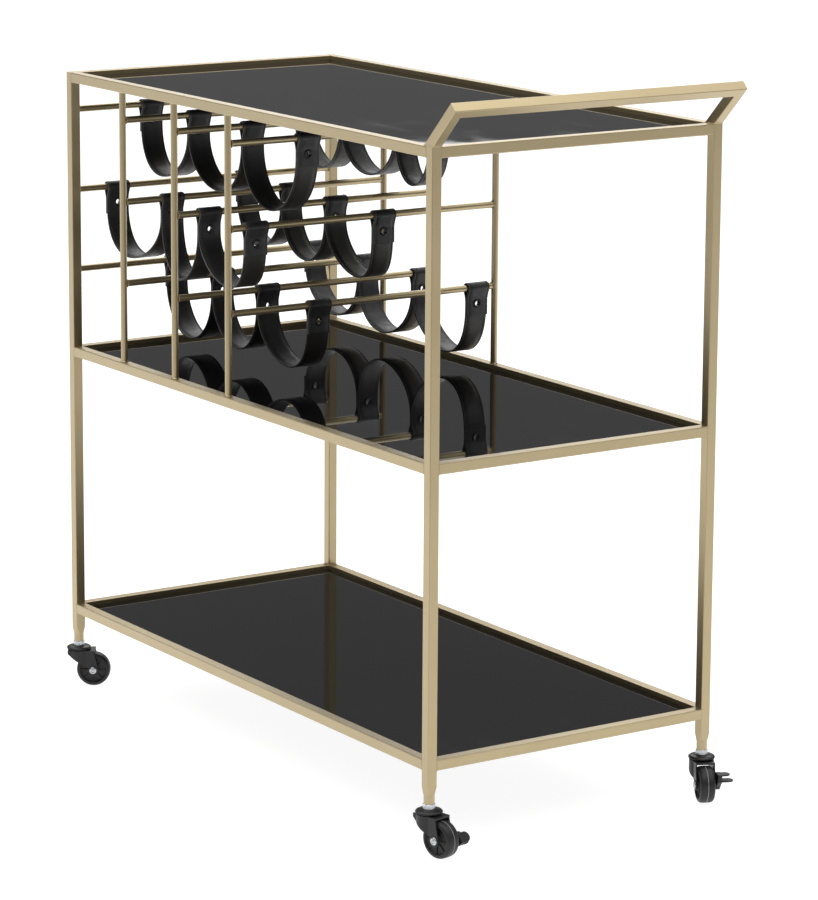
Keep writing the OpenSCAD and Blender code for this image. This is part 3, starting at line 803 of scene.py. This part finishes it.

# ---- Caster wheels ----
# Moulded nylon wheels: round-shouldered tread with a raised parting line down its middle,
# and a dished face on each side with a hub and eight ribs.
# The parting line is coloured pale grey, a painted highlight along the tread's crown.

WHEEL_HALF = [(2.65, 8.9), (5.4, 8.9), (5.9, 8.5), (6.1, 6.4), (6.6, 6.0), (14.8, 6.0), (15.4, 6.3),
              (15.7, 8.2), (16.1, 8.5), (16.9, 8.5), (18.2, 8.2), (19.3, 7.4), (20.0, 6.3),
              (20.35, 5.0), (20.5, 3.0), (20.5, 0.0)]
RIBS = 8
RIB_FROM, RIB_TO = 6.0 * MM, 15.4 * MM
RIB_LOW, RIB_TOP = 5.8 * MM, 7.3 * MM
RIB_W = 1.3 * MM
PARTING = [(20.35, -0.5), (20.6, -0.4), (20.6, 0.4), (20.35, 0.5)]

# Painted highlight: the parting line's pale grey stands in for light along the tread's crown.
painted_crown_highlight, shader, tree = material("tread_crown_highlight")
grained(tree, shader, (0.30, 0.30, 0.30, 1), (0.14, 0.14, 0.14, 1), (0.45, 0.6), 0.00004,
        peel=0.0011)


def rib(place, side):
    """One tapered rib of a wheel's dished face, from the hub out to the rim."""
    verts = []
    for height, taper in ((RIB_LOW, 1.0), (RIB_TOP - 0.25 * MM, 0.85), (RIB_TOP, 0.5)):
        for x, y in ((RIB_FROM, -1), (RIB_TO, -1), (RIB_TO, 1), (RIB_FROM, 1)):
            verts.append(place @ Vector((x, y * taper * RIB_W / 2, side * height)))
    faces = [(8, 9, 10, 11), (3, 2, 1, 0)]
    for base in (0, 4):
        for k in range(4):
            m = (k + 1) % 4
            faces.append((base + k, base + m, base + 4 + m, base + 4 + k))
    return verts, faces if side > 0 else [tuple(reversed(f)) for f in faces]


for corner in SWIVELS:
    axle = along_axle(corner)
    half = millimetres(WHEEL_HALF)
    whole = half + [(r, -h) for r, h in reversed(half[:-1])]
    tyre = mesh_piece("wheel_body_" + corner, *revolve(whole, 2 * TURN_STEPS, axle), black_nylon)
    # The raised parting line, coloured with the painted highlight's grey.
    line = mesh_piece("tread_crown_highlight_" + corner, *revolve(
        millimetres(PARTING), 2 * TURN_STEPS, axle), painted_crown_highlight)
    ribs = mesh_piece("wheel_ribs_" + corner, *gathered([
        rib(axle @ Matrix.Rotation(2 * math.pi * k / RIBS, 4, "Z"), side)
        for k in range(RIBS) for side in (-1, 1)]), black_nylon, smooth=False)
    for piece in (tyre, line, ribs):
        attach(piece, "roller_" + corner)
    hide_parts("wheel_" + corner)

# ---- Axle rivets ----
# Each axle is a zinc rivet with a shallow domed head at both ends.
# A ring pressed into the head shows where it was peened over.

HEAD = [(2.5, -1.5), (4.3, -1.5), (4.5, -1.2), (4.4, -0.75), (3.9, -0.35), (3.1, -0.1), (2.5, -0.05),
        (2.2, -0.35), (1.8, -0.4), (1.5, -0.1), (0.8, 0.0), (0.02, 0.0)]

for corner in SWIVELS:
    axle = along_axle(corner)
    ends = [(axle.inverted() @ p).z for p in cad_points("axle_" + corner)]
    low, high = min(ends), max(ends)
    head = millimetres(HEAD)
    profile = [(r, low - h) for r, h in reversed(head)] + [(r, high + h) for r, h in head]
    rivet = mesh_piece("rivet_" + corner, *revolve(profile, TURN_STEPS, axle, closed=False), zinc)
    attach(rivet, "swivel_" + corner)
    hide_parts("axle_" + corner)

# ---- Brake levers ----
# A nylon hub on the axle's end with two thin leaf-shaped wings for the foot.
# The moulding has rounded edges all over and the same grain as the wheels.

LEVER_EDGE = 0.4 * MM

for end in ("front", "back"):
    lever = softened("brake_lever_" + end, black_nylon, LEVER_EDGE)
    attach(lever, "brake_" + end)
    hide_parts("brake_lever_" + end)
